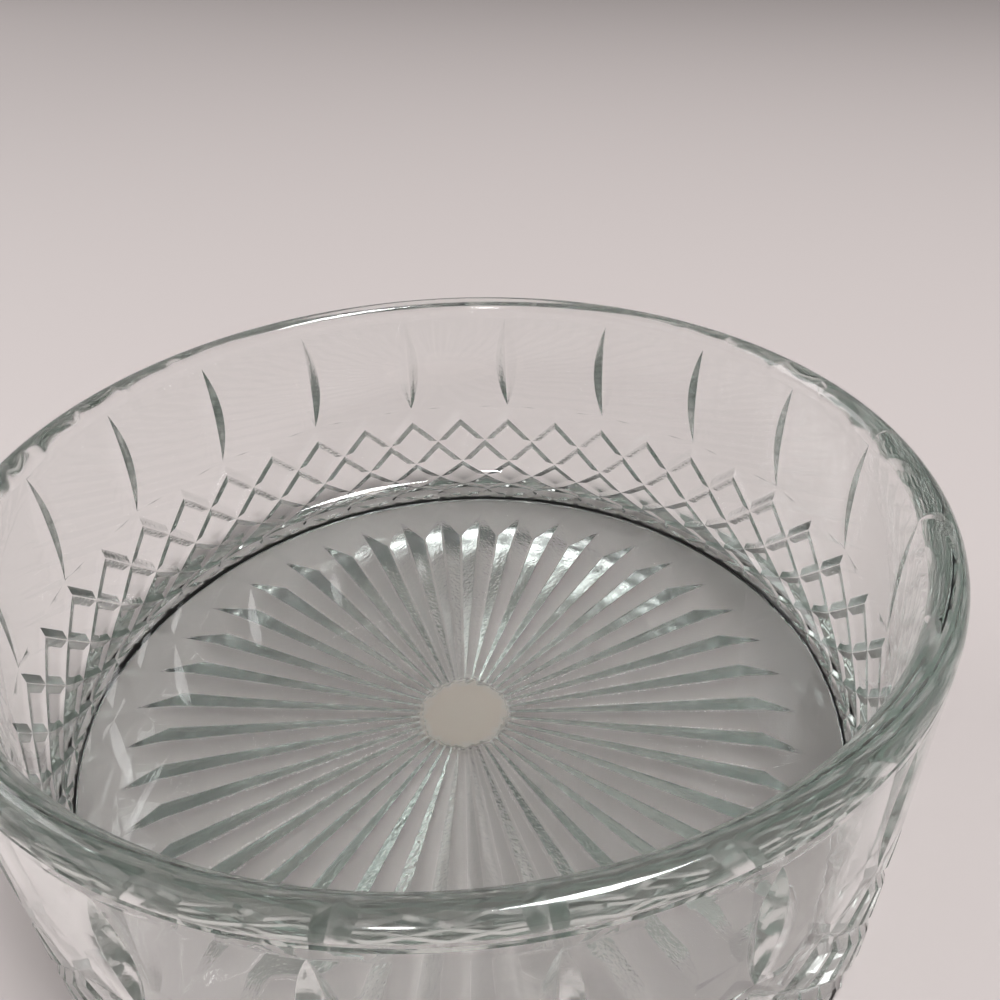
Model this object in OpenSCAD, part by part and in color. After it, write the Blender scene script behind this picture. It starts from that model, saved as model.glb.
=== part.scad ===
/* [Bowl] */
// Diameter over the rim
rim_d = 147.4; // [140:0.2:156]
// Height from the table to the top of the lip
bowl_h = 60; // [58.6:0.1:64]
// Thickness of the rounded lip
lip_t = 5; // [4.4:0.1:6]
// How much further in the inside wall stands at the floor than at the lip
wall_draft = 0; // [0:0.1:1.5]
// Height of the inside floor above the table
floor_h = 15.6; // [12:0.1:17]
// Radius of the hollow between the inside wall and the floor
basin_r = 4.5; // [3:0.5:8]
// Depth of the fine mould line under the lip
seam_depth = 0.25; // [0.1:0.05:0.4]

/* [Foot] */
// Radius of the heel between the outside wall and the foot
heel_r = 2.5; // [2:0.5:5]
// Width of the flat ring that the bowl rests on
foot_w = 1.5; // [1.2:0.1:3]
// Depth of the hollow inside the foot ring
recess_h = 1; // [0.5:0.1:1.5]

/* [Olives] */
// Number of olive cuts under the lip
olive_count = 20; // [10:1:24]
// Length of an olive
olive_len = 21.5; // [16:0.5:22]
// Width of an olive at its middle
olive_w = 5.3; // [4:0.1:7]
// Depth of an olive at its middle
olive_depth = 1.6; // [1:0.1:2]
// Height of the olives' middles above the table
olive_z = 44.4; // [44:0.1:45]

/* [Diamonds] */
// Number of diamonds in one row round the wall
diamond_count = 40; // [24:1:48]
// Number of rows of diamonds from the top crossings down to the foot
diamond_row_count = 5.5; // [3:0.5:6.5]
// Height of the top crossings above the table
diamond_top = 30.4; // [28:0.1:31]
// Width of a groove between two diamonds
groove_w = 3.2; // [2:0.1:3.6]
// Depth of a groove between two diamonds
groove_depth = 0.9; // [0.5:0.05:1.2]
// Turn of the olives and diamonds round the bowl, in degrees
wall_turn = 5.7; // [0:0.1:18]

/* [Star] */
// Number of points of the star under the bowl
star_count = 40; // [24:1:48]
// Diameter over the star's points
star_d = 125.2; // [118:0.2:130]
// Diameter of the circle where neighbouring points part
shoulder_d = 108; // [100:0.5:112]
// Depth of the star at its deepest
star_depth = 2.3; // [1:0.1:3]
// Diameter of the plain disc at the star's centre
hub_d = 16.5; // [12:0.5:24]
// Turn of the star round the bowl, in degrees
star_turn = 2.1; // [0:0.1:9]

/* [Hidden] */
// Overrun of every cut
over = 1;
// Facets of a full turn, and of each rounding of the section
turn_fn = 160;
arc_fn = 10;
// Steps along each side of a diamond, so that the grooves follow the heel
diamond_steps = 2;
// Height of the star's ridges over the hollow's plane
ridge_lift = 0.15;
// Half height of the mould line
seam_half = 0.4;

rim_r = rim_d / 2;
lip_r = lip_t / 2;
lip_z = bowl_h - lip_r;
low_r = rim_r - lip_t - wall_draft;
foot_r = rim_r - heel_r;
recess_r = foot_r - foot_w;

// The lattice runs down the straight wall and round the heel to the foot
straight_run = diamond_top - heel_r;
row_run = (straight_run + heel_r * PI / 2) / diamond_row_count;
half_pitch = rim_r * PI / diamond_count;
groove_slope = 2 * groove_depth / groove_w;
window_rise = groove_slope * half_pitch * row_run / norm([half_pitch, row_run]);
tool_r = rim_r + window_rise + over;

// Radius of the cutting wheel whose edge leaves an olive of this length and depth
wheel_r = (pow(olive_len / 2, 2) + pow(olive_depth, 2)) / (2 * olive_depth);
wheel_reach = 2 * olive_depth;
wheel_half = olive_w;
wheel_turn = 2 * asin((olive_len / 2 + over) / wheel_r);

function turned(r, angle, z) = [r * cos(angle), r * sin(angle), z];

// Points of an arc about a centre, in the plane of the section
function arc(centre, radius, from, to) =
    [for (i = [0:arc_fn]) let (a = from + (to - from) * i / arc_fn) centre + radius * [cos(a), sin(a)]];

// Section of the bowl, right of its axis
module section() {
    polygon(concat(
        [[0, recess_h], [recess_r - recess_h, recess_h], [recess_r, 0]],
        arc([rim_r - heel_r, heel_r], heel_r, -90, 0),
        [[rim_r, lip_z - 2 * seam_half], [rim_r - seam_depth, lip_z - seam_half]],
        arc([rim_r - lip_r, lip_z], lip_r, 0, 180),
        arc([low_r - basin_r, floor_h + basin_r], basin_r, 0, -90),
        [[0, floor_h]]
    ));
}

// One olive: the bite of a wheel with a sharp edge, held upright against the wall.
// Only the part of its edge that meets the wall is made
module olive_wheel() {
    translate([rim_r - olive_depth + wheel_r, 0, olive_z])
        rotate([90, 0, 0])
            rotate([0, 0, 180 - wheel_turn / 2])
                rotate_extrude(angle = wheel_turn, $fn = turn_fn)
                    polygon([
                        [wheel_r - wheel_reach, -wheel_half],
                        [wheel_r, 0],
                        [wheel_r - wheel_reach, wheel_half]
                    ]);
}

module olives() {
    for (i = [0:olive_count - 1])
        rotate([0, 0, i * 360 / olive_count])
            olive_wheel();
}

// Radius and height of a point this far down the skin from the top crossings, lifted off it
function skin(run, lift) =
    let (a = max(0, run - straight_run) / heel_r * 180 / PI)
    [
        foot_r + (heel_r + lift) * cos(a),
        run < straight_run ? diamond_top - run : heel_r - (heel_r + lift) * sin(a)
    ];

// How far a place lies from the nearest groove, as a share of a diamond's half width:
// x counts half pitches round the wall, y counts rows of crossings down it
function saw_share(t) = abs(t - 2 * round(t / 2));
function rise_share(x, y) =
    y < 0 ? min(1, saw_share(x) - y) : min(saw_share(x + y), saw_share(x - y));

// The lattice tool lies along the groove bottoms and rises to a point over every window
module lattice_tool() {
    around = 2 * diamond_count * diamond_steps;
    down = (diamond_row_count + 1) * diamond_steps;
    step_angle = 360 / around;
    lattice = [for (j = [0:down]) for (i = [0:around - 1])
        let (
            y = j / diamond_steps - 1,
            rise = rise_share(i / diamond_steps, y) * window_rise,
            q = skin(y * row_run, rise - groove_depth)
        )
        turned(q[0], i * step_angle, q[1])];
    closing = [for (q = [
            [foot_r - groove_depth, -over],
            [foot_r - groove_depth, -window_rise - over],
            [tool_r, -window_rise - over],
            [tool_r, diamond_top + row_run]
        ])
        for (i = [0:around - 1]) turned(q[0], i * step_angle, q[1])];
    rings = down + 5;
    faces = [for (j = [0:rings - 1]) for (i = [0:around - 1])
        let (
            a = j * around + i,
            b = j * around + (i + 1) % around,
            c = (j + 1) % rings * around + (i + 1) % around,
            d = (j + 1) % rings * around + i,
            row = floor(j / diamond_steps),
            column = floor(i / diamond_steps),
            falling = (row + column + (row == 0 ? 0 : 1)) % 2 == 0
        )
        each falling ? [[a, c, b], [a, d, c]] : [[a, d, b], [b, d, c]]];
    polyhedron(concat(lattice, closing), faces, convexity = 10);
}

// The star tool: a fan of valleys from the centre, each closed by two end facets and a tip
module star_tool() {
    step_angle = 360 / star_count;
    deep = [shoulder_d / 2, recess_h + star_depth];
    tip = deep + ([star_d / 2, recess_h] - deep) * (1 + over / star_depth);
    ridge_z = recess_h + ridge_lift;
    rings = [[shoulder_d / 2, ridge_z, 0.5], [deep[0], deep[1], 0], [tip[0], tip[1], 0],
             [shoulder_d / 2, -over, 0.5], [tip[0], -over, 0]];
    n = star_count;
    points = concat(
        [[0, 0, ridge_z], [0, 0, -over]],
        [for (q = rings) for (k = [0:n - 1]) turned(q[0], (k - q[2]) * step_angle, q[1])]
    );
    function at(ring, k) = 2 + ring * n + k % n;
    faces = [for (k = [0:n - 1]) each [
        [0, at(1, k), at(0, k)],
        [0, at(0, k + 1), at(1, k)],
        [at(0, k), at(1, k), at(2, k)],
        [at(1, k), at(0, k + 1), at(2, k)],
        [at(0, k), at(2, k), at(4, k), at(3, k)],
        [at(2, k), at(0, k + 1), at(3, k + 1), at(4, k)],
        [1, at(3, k), at(4, k)],
        [1, at(4, k), at(3, k + 1)]
    ]];
    difference() {
        polyhedron(points, faces, convexity = 10);
        cylinder(h = 2 * (recess_h + star_depth), d = hub_d, center = true, $fn = turn_fn);
    }
}

module bowl() {
    color([0.82, 0.87, 0.85, 0.6])
        difference() {
            rotate_extrude($fn = turn_fn) section();
            rotate([0, 0, wall_turn]) {
                olives();
                lattice_tool();
            }
            rotate([0, 0, star_turn]) star_tool();
        }
}

bowl();
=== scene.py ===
"""A pressed glass serving bowl: one closed glass mesh with olives, a diamond band and a star base."""
import math

import bmesh
import bpy
from mathutils import Matrix, Vector


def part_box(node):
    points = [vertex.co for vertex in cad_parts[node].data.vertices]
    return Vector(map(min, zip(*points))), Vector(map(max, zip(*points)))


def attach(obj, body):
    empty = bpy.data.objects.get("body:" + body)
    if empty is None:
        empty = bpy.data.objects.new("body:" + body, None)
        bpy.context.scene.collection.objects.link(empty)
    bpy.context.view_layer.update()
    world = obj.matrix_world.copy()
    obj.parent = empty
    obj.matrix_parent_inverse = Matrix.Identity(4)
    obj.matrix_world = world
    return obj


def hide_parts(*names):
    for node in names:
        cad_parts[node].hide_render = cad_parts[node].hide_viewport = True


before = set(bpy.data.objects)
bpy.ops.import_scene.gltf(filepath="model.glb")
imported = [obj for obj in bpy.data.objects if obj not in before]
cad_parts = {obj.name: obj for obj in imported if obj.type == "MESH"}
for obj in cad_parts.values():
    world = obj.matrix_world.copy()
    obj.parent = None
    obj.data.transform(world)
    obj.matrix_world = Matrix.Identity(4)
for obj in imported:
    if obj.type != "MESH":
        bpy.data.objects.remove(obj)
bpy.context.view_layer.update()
low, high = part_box("bowl")

# Sizes are in millimetres until the mesh is finished; angles are in degrees unless a name says so
MM = 0.001
RIM_R = high.x / MM
BOWL_H = high.z / MM
LIP_T = 5.0
LIP_R = LIP_T / 2
LIP_Z = BOWL_H - LIP_R
WALL_DRAFT = 0.0
LOW_R = RIM_R - LIP_T - WALL_DRAFT
FLOOR_H = 15.6
BASIN_R = 4.5
SEAM_DEPTH = 0.25
SEAM_HALF = 0.4

HEEL_R = 2.5
FOOT_R = RIM_R - HEEL_R
FOOT_W = 1.5
RECESS_H = 1.0
RECESS_R = FOOT_R - FOOT_W

OLIVE_COUNT = 20
OLIVE_LEN = 21.5
OLIVE_W = 5.3
OLIVE_DEPTH = 1.6
OLIVE_Z = 44.4
WHEEL_R = ((OLIVE_LEN / 2) ** 2 + OLIVE_DEPTH ** 2) / (2 * OLIVE_DEPTH)
WHEEL_SLOPE = 2 * OLIVE_DEPTH / OLIVE_W
WALL_TURN = 5.7

DIAMOND_COUNT = 40
DIAMOND_ROWS = 5.5
DIAMOND_TOP = 30.4
GROOVE_W = 3.2
GROOVE_DEPTH = 0.9
HALF_PITCHES = 2 * DIAMOND_COUNT
HALF_PITCH = RIM_R * math.pi / DIAMOND_COUNT
STRAIGHT_RUN = DIAMOND_TOP - HEEL_R
ROW_RUN = (STRAIGHT_RUN + HEEL_R * math.pi / 2) / DIAMOND_ROWS
WINDOW_RISE = 2 * GROOVE_DEPTH / GROOVE_W * HALF_PITCH * ROW_RUN / math.hypot(HALF_PITCH, ROW_RUN)
WINDOW_SHARE = GROOVE_DEPTH / WINDOW_RISE
# Share of a cut's half width over which its bottom and shoulders are rounded, and where rows of points lie
SOFT = 0.07
CUT_SHARES = (0.0, SOFT / 2, SOFT, 0.5, 1 - SOFT, 1 - SOFT / 2, 1.0)
FOOT_FLAT = 0.9

STAR_COUNT = 40
STAR_R = 62.6
SHOULDER_R = 54.0
STAR_DEPTH = 2.3
HUB_R = 8.25
STAR_TURN = 2.1
# Rounding of the star's ridges and valleys: its width, and the most of a valley's half that it takes
RIDGE_SOFT = 0.35
RIDGE_SOFT_SHARE = 0.3

# Mesh steps: along one side of a diamond, over the band's blends, and over the rounded forms
STEPS = 5
BAND_ROWS = 4
STAR_ROWS = 5
OLIVE_ROWS = 28
ARC_STEPS = 16
WALL_ROWS = 10
CREASE_DEGREES = 18.0
WELD = 0.004

# Finish of the glass: roughness added to the polish, and bumps by scale per metre and depth in millimetres
SKIN_MARGIN = 0.03
GLASS_IOR = 1.52
CLEAR_COLOUR = (1.0, 1.0, 1.0, 1.0)
BODY_COLOUR = (0.24, 0.40, 0.31, 1.0)
BODY_DENSITY = 8.5
POLISH_ROUGHNESS = 0.012
CUT_ROUGHNESS = 0.12
STAR_ROUGHNESS = 0.06
LIP_ROUGHNESS = 0.08
GRAIN_SCALE = 1400.0
GRAIN_DEPTH = 0.06
GRAIN_ON_WALL = 0.5
WAVE_SCALE = 90.0
WAVE_DEPTH = 0.03
# The frosted hub: its share of scattered light, and the fray of its edge
HUB_COLOUR = (0.95, 0.82, 0.73, 1.0)
HUB_ROUGHNESS = 0.4
HUB_FROST = 0.85
HUB_FRAY = 2.6
HUB_FRAY_SCALE = 700.0
HUB_FRAY_START = 1.2
HUB_FRAY_END = -0.3

# The studio, in metres: its floor, its room's colours by direction, and its lamps,
# each with its place, the point that it looks at, its size and its power
FLOOR_SIZE = 6.0
FLOOR_COLOUR = (0.52, 0.47, 0.46, 1.0)
FLOOR_ROUGHNESS = 0.7
WALL_COLOUR = (0.25, 0.24, 0.24, 1.0)
CEILING_COLOUR = (0.20, 0.19, 0.19, 1.0)
FRONT_COLOUR = (0.12, 0.115, 0.115, 1.0)
FRONT_TO_BACK = (-0.6, 0.3)
WALL_TO_CEILING = (0.2, 0.6)
LAMPS = {
    "ceiling": ((0.32, -0.20, 1.45), (0, 0, 0), (0.4, 0.4), 19.0),
    "back": ((-1.40, 1.10, 1.20), (0, 0.9, 0), (1.2, 1.2), 16.0),
    "window": ((-0.60, -0.05, 0.42), (0, 0, 0), (0.6, 0.5), 0.6),
    "lamp": ((-0.26, -0.94, 0.71), (0, 0, 0), (0.12, 0.12), 3.0),
}
LIGHT_BOUNCES = 24


def skin(run, lift):
    """Radius and height of a point this far down the outside from the top crossings, lifted off it."""
    turn = max(0.0, run - STRAIGHT_RUN) / HEEL_R
    radius = FOOT_R + (HEEL_R + lift) * math.cos(turn)
    height = DIAMOND_TOP - run if run < STRAIGHT_RUN else HEEL_R - (HEEL_R + lift) * math.sin(turn)
    return radius, height


def rounded(share, soft=SOFT):
    """Depth of a cut whose bottom and shoulders are rounded: share 0 is its edge and 1 its bottom."""
    if share < soft:
        return share ** 2 / (2 * soft)
    if share > 1 - soft:
        return 1 - soft - (1 - share) ** 2 / (2 * soft)
    return share - soft / 2


def turned(radius, degrees, height):
    """A point at this radius and height, turned round the bowl's axis."""
    angle = math.radians(degrees)
    return Vector((radius * math.cos(angle), radius * math.sin(angle), height))


def add_grid(bm, rows):
    """Faces between rows of points; every row has as many points as the first."""
    verts = [[bm.verts.new(p) for p in row] for row in rows]
    for upper, lower in zip(verts, verts[1:]):
        for i in range(len(upper) - 1):
            bm.faces.new((upper[i], upper[i + 1], lower[i + 1], lower[i]))
    return verts


def patch_rows(a, b, c, d, shares):
    """Rows of points on the patch with corners a, b, c and d: a to b and d to c run along it."""
    rows = []
    for share in shares:
        start, end = a.lerp(d, share), b.lerp(c, share)
        rows.append([start.lerp(end, i / STEPS) for i in range(STEPS + 1)])
    return rows


def flank_rows(a, b, c, d):
    """Rows of points on one side of a groove: a to b is its bottom and d to c its edge."""
    rows = patch_rows(a, b, c, d, CUT_SHARES)
    for share, row in zip(CUT_SHARES, rows):
        for p in row:
            p.z = -GROOVE_DEPTH * rounded(1 - share)
    return rows


def wall_angle(x):
    """Azimuth of a place counted in half pitches round the wall."""
    return WALL_TURN + x * 180.0 / DIAMOND_COUNT


def diamond_band():
    """The grooves and the windows between them, first laid out flat, cut at the foot and then wrapped.
    Flat coordinates are half pitches round the wall, rows down it, and the lift off the skin."""
    bm = bmesh.new()
    last_row = math.ceil(DIAMOND_ROWS)
    for row in range(last_row + 1):
        for column in range(HALF_PITCHES):
            if (row + column) % 2 == 0:
                continue
            centre = Vector((column, row, 0.0))
            node = {side: centre + Vector(step) for side, step in (
                ("up", (0, -1, 0)), ("right", (1, 0, 0)), ("down", (0, 1, 0)), ("left", (-1, 0, 0)))}
            window = {side: p.lerp(centre, WINDOW_SHARE) for side, p in node.items()}
            if row == 0:
                for side in ("right", "left"):
                    window[side] = node[side] - Vector((0, WINDOW_SHARE, 0))
            sides = ("right", "down", "left") if row == 0 else ("up", "right", "down", "left", "up")
            for one, two in zip(sides, sides[1:]):
                add_grid(bm, flank_rows(node[one], node[two], window[two], window[one]))
            if row > 0:
                add_grid(bm, patch_rows(window["up"], window["right"], window["down"], window["left"],
                                        [j / STEPS for j in range(STEPS + 1)]))
    bmesh.ops.bisect_plane(bm, geom=bm.verts[:] + bm.edges[:] + bm.faces[:], dist=1e-6,
                           plane_co=(0, DIAMOND_ROWS, 0), plane_no=(0, 1, 0), clear_outer=True)
    cut = [e for e in bm.edges if all(abs(v.co.y - DIAMOND_ROWS) < 1e-5 for v in e.verts)
           and e.is_boundary]
    add_foot_ring(bm, cut)
    return bm


def add_foot_ring(bm, cut):
    """Runs the cut edge of the band over the flat foot and up into the hollow under the bowl."""
    kind = bm.verts.layers.int.new("ring")
    edges = cut
    rings = [(RECESS_R + FOOT_FLAT, 0.0), (RECESS_R, 0.0), (RECESS_R - RECESS_H, RECESS_H)]
    for number in range(1, len(rings) + 1):
        grown = bmesh.ops.extrude_edge_only(bm, edges=edges)["geom"]
        for v in (g for g in grown if isinstance(g, bmesh.types.BMVert)):
            v[kind] = number
        edges = [g for g in grown if isinstance(g, bmesh.types.BMEdge)
                 and all(v[kind] == number for v in g.verts)]
    for v in bm.verts:
        x, y, lift = v.co
        if v[kind] == 0:
            radius, height = skin(y * ROW_RUN, lift)
        else:
            radius, height = rings[v[kind] - 1]
        v.co = turned(radius, wall_angle(x), height)


def olive_half_width(z):
    """Half the olive's width at this height: where the wheel's flank leaves the round wall."""
    rise = abs(z - OLIVE_Z)
    if rise >= OLIVE_LEN / 2:
        return 0.0
    inside, outside = 0.0, OLIVE_W
    for _ in range(40):
        middle = (inside + outside) / 2
        if wheel_radius(middle, z) < math.sqrt(RIM_R ** 2 - middle ** 2):
            inside = middle
        else:
            outside = middle
    return inside


def wheel_radius(side, z):
    """How far from the bowl's axis the wheel has cut, this far to the side of its edge."""
    edge = WHEEL_R - WHEEL_SLOPE * side
    return RIM_R - OLIVE_DEPTH + WHEEL_R - math.sqrt(edge ** 2 - (z - OLIVE_Z) ** 2)


def olive_row(z, columns):
    """One row of an olive's sector at this height: wall, flank, spine, flank, wall."""
    half = olive_half_width(z)
    depth = RIM_R - wheel_radius(0.0, z)
    edge = math.degrees(half / RIM_R)
    sector = 180.0 / OLIVE_COUNT
    row = []
    last = len(CUT_SHARES) - 1
    for k in range(-columns, columns + 1):
        if abs(k) <= last:
            share = CUT_SHARES[abs(k)]
            radius, angle = RIM_R - depth * rounded(1 - share), edge * share
        else:
            share = (abs(k) - last) / (columns - last)
            radius, angle = RIM_R, edge + (sector - edge) * share
        row.append((radius, math.copysign(angle, k), z))
    return row


def olive_band(bm):
    """The plain wall with its olives, from the zigzag over the diamonds up to the mould line."""
    columns = HALF_PITCHES // OLIVE_COUNT * STEPS // 2
    step = 180.0 / DIAMOND_COUNT / STEPS
    foot, top = OLIVE_Z - OLIVE_LEN / 2, OLIVE_Z + OLIVE_LEN / 2
    below, above = foot - (foot - DIAMOND_TOP - WINDOW_SHARE * ROW_RUN) / 2, top + (seam_low() - top) / 3
    zigzag = []
    for k in range(-columns, columns + 1):
        x = k / STEPS
        saw = abs(x - 2 * round(x / 2))
        zigzag.append(DIAMOND_TOP - (saw - WINDOW_SHARE) * ROW_RUN)
    rows = []
    for j in range(BAND_ROWS + 1):
        share = j / BAND_ROWS
        rows.append([(RIM_R, k * step, zigzag[k + columns] * (1 - share) + below * share)
                     for k in range(-columns, columns + 1)])
    for j in range(OLIVE_ROWS + 1):
        z = OLIVE_Z - OLIVE_LEN / 2 * math.cos(math.pi * j / OLIVE_ROWS)
        rows.append(olive_row(z, columns))
    for z in (above, seam_low()):
        rows.append([(RIM_R, k * step, z) for k in range(-columns, columns + 1)])
    for number in range(OLIVE_COUNT):
        turn = WALL_TURN + number * 360.0 / OLIVE_COUNT
        add_grid(bm, [[turned(r, turn + angle, z) for r, angle, z in row] for row in rows])


def seam_low():
    """Height of the lower edge of the mould line."""
    return LIP_Z - 2 * SEAM_HALF


def arc(centre_r, centre_z, radius, start, end):
    """Points of a rounding in the bowl's section."""
    points = []
    for i in range(ARC_STEPS + 1):
        angle = math.radians(start + (end - start) * i / ARC_STEPS)
        points.append((centre_r + radius * math.cos(angle), centre_z + radius * math.sin(angle)))
    return points


def inside_and_lip(bm):
    """The mould line, the rounded lip, the inside wall, the basin's hollow and the floor."""
    section = [(RIM_R, seam_low()), (RIM_R - SEAM_DEPTH, LIP_Z - SEAM_HALF)]
    section += arc(RIM_R - LIP_R, LIP_Z, LIP_R, 0, 180)
    basin = arc(LOW_R - BASIN_R, FLOOR_H + BASIN_R, BASIN_R, 0, -90)
    top = section[-1]
    for i in range(1, WALL_ROWS):
        share = i / WALL_ROWS
        section.append((top[0] + (basin[0][0] - top[0]) * share, top[1] + (basin[0][1] - top[1]) * share))
    section += basin
    around = HALF_PITCHES * STEPS
    angles = [wall_angle(i / STEPS) for i in range(around + 1)]
    rows = add_grid(bm, [[turned(r, a, z) for a in angles] for r, z in section])
    centre = bm.verts.new((0, 0, FLOOR_H))
    for i in range(around):
        bm.faces.new((rows[-1][i], rows[-1][i + 1], centre))


def valley_row(radius):
    """Angle and height of points across one valley at this radius, from ridge to ridge."""
    half = 180.0 / STAR_COUNT
    depth = STAR_DEPTH * radius / SHOULDER_R
    soft = min(RIDGE_SOFT / (radius * math.radians(half)), RIDGE_SOFT_SHARE)
    side = [((share - 1) * half, RECESS_H + depth * rounded(share, soft))
            for share in (0.0, soft / 2, soft, 1 - soft, 1 - soft / 2, 1.0)]
    return side + [(-angle, height) for angle, height in reversed(side[:-1])]


def star(bm):
    """The star under the bowl: forty valleys that deepen outwards, each closed by two end facets."""
    radii = [HUB_R + (SHOULDER_R - HUB_R) * i / STAR_ROWS for i in range(STAR_ROWS + 1)]
    rows = [(radius, valley_row(radius)) for radius in radii]
    last = len(rows[0][1]) - 1
    ridges = []
    for k in range(STAR_COUNT):
        middle = STAR_TURN + k * 360.0 / STAR_COUNT
        valley = add_grid(bm, [[turned(radius, middle + angle, height) for angle, height in row]
                               for radius, row in rows])
        tip = bm.verts.new(turned(STAR_R, middle, RECESS_H))
        hub_edge = bm.verts.new(turned(HUB_R, middle, RECESS_H))
        for i in range(last):
            bm.faces.new((valley[-1][i], valley[-1][i + 1], tip))
            bm.faces.new((valley[0][i + 1], valley[0][i], hub_edge))
        ridges += [row[i] for row in valley for i in (0, last)]
    bmesh.ops.remove_doubles(bm, verts=ridges, dist=WELD)
    plane = [v for v in bm.verts if v.co.xy.length < STAR_R + WELD and abs(v.co.z - RECESS_H) < WELD / 2]
    plane.sort(key=lambda v: math.atan2(v.co.y, v.co.x))
    bm.faces.new([v for v in plane if v.co.xy.length < HUB_R + WELD])
    return [v for v in plane if v.co.xy.length > SHOULDER_R - WELD]


def fill_hollow(bm, outline):
    """The plain ring of the hollow, between the foot and the star's points."""
    edges = [bm.edges.get((a, b)) or bm.edges.new((a, b)) for a, b in zip(outline, outline[1:] + outline[:1])]
    inner_r = RECESS_R - RECESS_H
    rim = [e for e in bm.edges if e.is_boundary
           and all(abs(v.co.xy.length - inner_r) < WELD and abs(v.co.z - RECESS_H) < WELD for v in e.verts)]
    bmesh.ops.triangle_fill(bm, use_beauty=True, use_dissolve=False, edges=edges + rim)


def build_bowl():
    """The whole glass body as one closed mesh, in metres, with crisp edges along every cut."""
    bm = diamond_band()
    olive_band(bm)
    inside_and_lip(bm)
    bmesh.ops.remove_doubles(bm, verts=bm.verts[:], dist=WELD)
    fill_hollow(bm, star(bm))
    bmesh.ops.dissolve_degenerate(bm, dist=WELD / 2, edges=bm.edges[:])
    bmesh.ops.recalc_face_normals(bm, faces=bm.faces[:])
    for face in bm.faces:
        face.smooth = True
    for edge in bm.edges:
        edge.smooth = edge.calc_face_angle(0.0) < math.radians(CREASE_DEGREES)
    bmesh.ops.scale(bm, vec=(MM, MM, MM), verts=bm.verts[:])
    mesh = bpy.data.meshes.new("glass_bowl")
    bm.to_mesh(mesh)
    bm.free()
    piece = bpy.data.objects.new("glass_bowl", mesh)
    bpy.context.scene.collection.objects.link(piece)
    return piece


class Graph:
    """Short ways to add nodes to a material or the world."""

    def __init__(self, owner):
        owner.use_nodes = True
        self.nodes, self.links = owner.node_tree.nodes, owner.node_tree.links

    def set(self, socket, value):
        """A number, colour or other node's output goes into a socket."""
        if isinstance(value, bpy.types.NodeSocket):
            self.links.new(value, socket)
        else:
            socket.default_value = value

    def maths(self, operation, one, two=0.0):
        node = self.nodes.new("ShaderNodeMath")
        node.operation = operation
        self.set(node.inputs[0], one)
        self.set(node.inputs[1], two)
        return node.outputs[0]

    def ramp(self, value, start, end):
        """Runs smoothly from 0 to 1 while the value runs from start to end."""
        node = self.nodes.new("ShaderNodeMapRange")
        node.interpolation_type = "SMOOTHSTEP"
        for name, number in (("Value", value), ("From Min", start), ("From Max", end)):
            self.set(node.inputs[name], number)
        return node.outputs[0]

    def blend(self, share, one, two):
        """A mix of two colours: share 0 is the first and 1 the second."""
        node = self.nodes.new("ShaderNodeMix")
        node.data_type = "RGBA"
        for name, value in (("Factor", share), ("A", one), ("B", two)):
            self.set(node.inputs[name], value)
        return node.outputs["Result"]

    def noise(self, vector, scale):
        node = self.nodes.new("ShaderNodeTexNoise")
        self.links.new(vector, node.inputs["Vector"])
        node.inputs["Scale"].default_value = scale
        return node.outputs["Fac"]

    def bump(self, height, strength, distance, normal=None):
        node = self.nodes.new("ShaderNodeBump")
        self.set(node.inputs["Height"], height)
        self.set(node.inputs["Strength"], strength)
        node.inputs["Distance"].default_value = distance
        if normal is not None:
            self.links.new(normal, node.inputs["Normal"])
        return node.outputs["Normal"]


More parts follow.
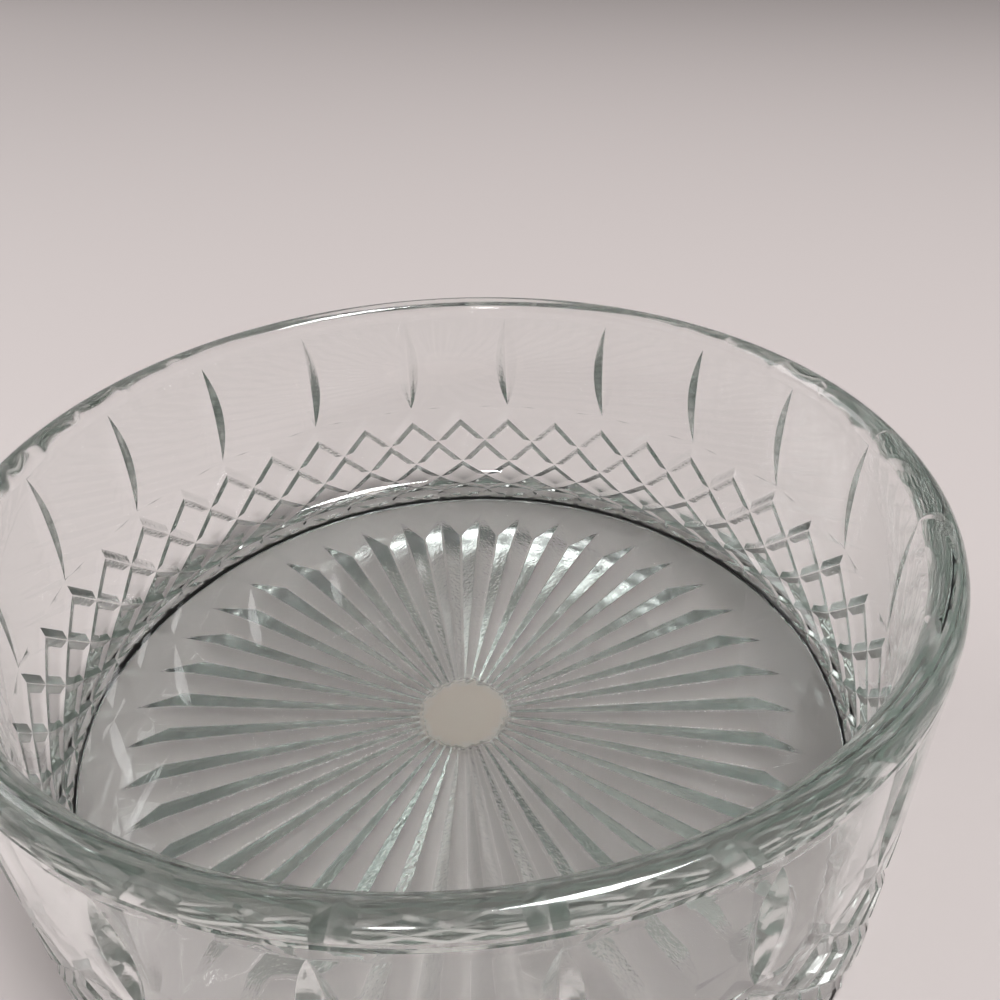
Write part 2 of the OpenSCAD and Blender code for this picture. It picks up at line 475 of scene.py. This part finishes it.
def glass_material():
    """Clear pressed glass with a grey-green body; its cuts are a little rough and its hub is frosted."""
    material = bpy.data.materials.new("clear_glass")
    graph = Graph(material)
    shader = graph.nodes["Principled BSDF"]
    place = graph.nodes.new("ShaderNodeTexCoord").outputs["Object"]
    split = graph.nodes.new("ShaderNodeSeparateXYZ")
    graph.links.new(place, split.inputs[0])
    x, y, z = split.outputs

    def both(one, two):
        return graph.maths("MULTIPLY", one, two)

    def above(value, limit):
        return graph.maths("GREATER_THAN", value, limit * MM)

    def below(value, limit):
        return graph.maths("LESS_THAN", value, limit * MM)

    radius = graph.maths("SQRT", graph.maths("ADD", both(x, x), both(y, y)))
    wall_cut = both(both(below(radius, RIM_R - SKIN_MARGIN), above(radius, RIM_R - 2 * OLIVE_DEPTH)),
                    below(z, seam_low()))
    star_cut = both(both(above(z, RECESS_H + SKIN_MARGIN), below(z, RECESS_H + 2 * STAR_DEPTH)),
                    below(radius, STAR_R))
    lip = graph.ramp(z, seam_low() * MM, LIP_Z * MM)
    frayed = graph.maths("ADD", radius, both(graph.noise(place, HUB_FRAY_SCALE), HUB_FRAY * MM))
    outer, inner = (HUB_R + share * HUB_FRAY for share in (HUB_FRAY_START, HUB_FRAY_END))
    hub = both(graph.ramp(frayed, outer * MM, inner * MM), below(z, 2 * RECESS_H))

    rough = POLISH_ROUGHNESS
    for share, added in ((wall_cut, CUT_ROUGHNESS), (star_cut, STAR_ROUGHNESS), (hub, HUB_ROUGHNESS),
                         (lip, LIP_ROUGHNESS)):
        rough = graph.maths("ADD", rough, both(share, added))
    graph.set(shader.inputs["Roughness"], rough)
    graph.set(shader.inputs["Base Color"], graph.blend(hub, CLEAR_COLOUR, HUB_COLOUR))
    graph.set(shader.inputs["Transmission Weight"], graph.maths("SUBTRACT", 1.0, both(hub, HUB_FROST)))
    shader.inputs["IOR"].default_value = GLASS_IOR
    grain_share = graph.maths("ADD", both(wall_cut, GRAIN_ON_WALL), star_cut)
    grain = graph.bump(graph.noise(place, GRAIN_SCALE), grain_share, GRAIN_DEPTH * MM)
    graph.set(shader.inputs["Normal"], graph.bump(graph.noise(place, WAVE_SCALE), 1.0, WAVE_DEPTH * MM, grain))

    body = graph.nodes.new("ShaderNodeVolumeAbsorption")
    body.inputs["Color"].default_value = BODY_COLOUR
    body.inputs["Density"].default_value = BODY_DENSITY
    graph.links.new(body.outputs["Volume"], graph.nodes["Material Output"].inputs["Volume"])
    return material


def floor_material():
    """A pale table that keeps the bowl's shadow."""
    material = bpy.data.materials.new("pale_floor")
    material.use_nodes = True
    shader = material.node_tree.nodes["Principled BSDF"]
    shader.inputs["Base Color"].default_value = FLOOR_COLOUR
    shader.inputs["Roughness"].default_value = FLOOR_ROUGHNESS
    return material


def add_floor():
    """A wide plain floor at the foot's plane."""
    mesh = bpy.data.meshes.new("floor")
    half = FLOOR_SIZE / 2
    corners = [(-half, -half, 0), (half, -half, 0), (half, half, 0), (-half, half, 0)]
    mesh.from_pydata(corners, [], [(0, 1, 2, 3)])
    floor = bpy.data.objects.new("floor", mesh)
    bpy.context.scene.collection.objects.link(floor)
    mesh.materials.append(floor_material())
    return floor


def add_area_light(name, place, target, size, power):
    """One soft lamp that looks at a point."""
    data = bpy.data.lights.new(name, "AREA")
    data.shape = "RECTANGLE"
    data.size, data.size_y = size
    data.energy = power
    lamp = bpy.data.objects.new(name, data)
    lamp.location = place
    lamp.rotation_euler = (Vector(target) - Vector(place)).to_track_quat("-Z", "Y").to_euler()
    bpy.context.scene.collection.objects.link(lamp)
    return lamp


def add_world():
    """A room with grey walls that is dimmer behind the camera and overhead."""
    world = bpy.data.worlds.new("studio")
    graph = Graph(world)
    split = graph.nodes.new("ShaderNodeSeparateXYZ")
    graph.links.new(graph.nodes.new("ShaderNodeTexCoord").outputs["Generated"], split.inputs[0])
    _, depth, height = split.outputs
    upper = graph.blend(graph.ramp(depth, *FRONT_TO_BACK), FRONT_COLOUR, CEILING_COLOUR)
    room = graph.blend(graph.ramp(height, *WALL_TO_CEILING), WALL_COLOUR, upper)
    graph.set(graph.nodes["Background"].inputs["Color"], room)
    bpy.context.scene.world = world


def follow_light_through_glass():
    """Light runs far inside the wall, so its paths are followed over many reflections."""
    cycles = bpy.context.scene.cycles
    cycles.max_bounces = LIGHT_BOUNCES
    cycles.glossy_bounces = LIGHT_BOUNCES
    cycles.transmission_bounces = LIGHT_BOUNCES


def add_camera():
    """The camera that the photograph's circles and scale give."""
    pitch, yaw, roll = 0.5936, 0.0675, -0.0343
    focal_px, frame_px = 916.5, 1000.0
    place = Vector((0.0, -0.1187, 0.1348))
    forward = Vector((math.sin(yaw) * math.cos(pitch), math.cos(yaw) * math.cos(pitch), -math.sin(pitch)))
    right = Vector((math.cos(yaw), -math.sin(yaw), 0.0))
    up = right.cross(forward)
    right, up = (math.cos(roll) * right + math.sin(roll) * up,
                 math.cos(roll) * up - math.sin(roll) * right)
    data = bpy.data.cameras.new("camera")
    data.sensor_width = 36.0
    data.lens = focal_px / frame_px * data.sensor_width
    data.clip_start = 0.01
    camera = bpy.data.objects.new("camera", data)
    camera.matrix_world = Matrix((
        (right.x, up.x, -forward.x, place.x),
        (right.y, up.y, -forward.y, place.y),
        (right.z, up.z, -forward.z, place.z),
        (0.0, 0.0, 0.0, 1.0)))
    bpy.context.scene.collection.objects.link(camera)
    bpy.context.scene.camera = camera
    return camera


bowl = build_bowl()
bowl.data.materials.append(glass_material())
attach(bowl, "root")
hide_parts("bowl")

add_floor()
add_world()
for lamp_name, settings in LAMPS.items():
    add_area_light(lamp_name, *settings)
add_camera()
follow_light_through_glass()

bpy.context.scene.view_settings.view_transform = "Standard"
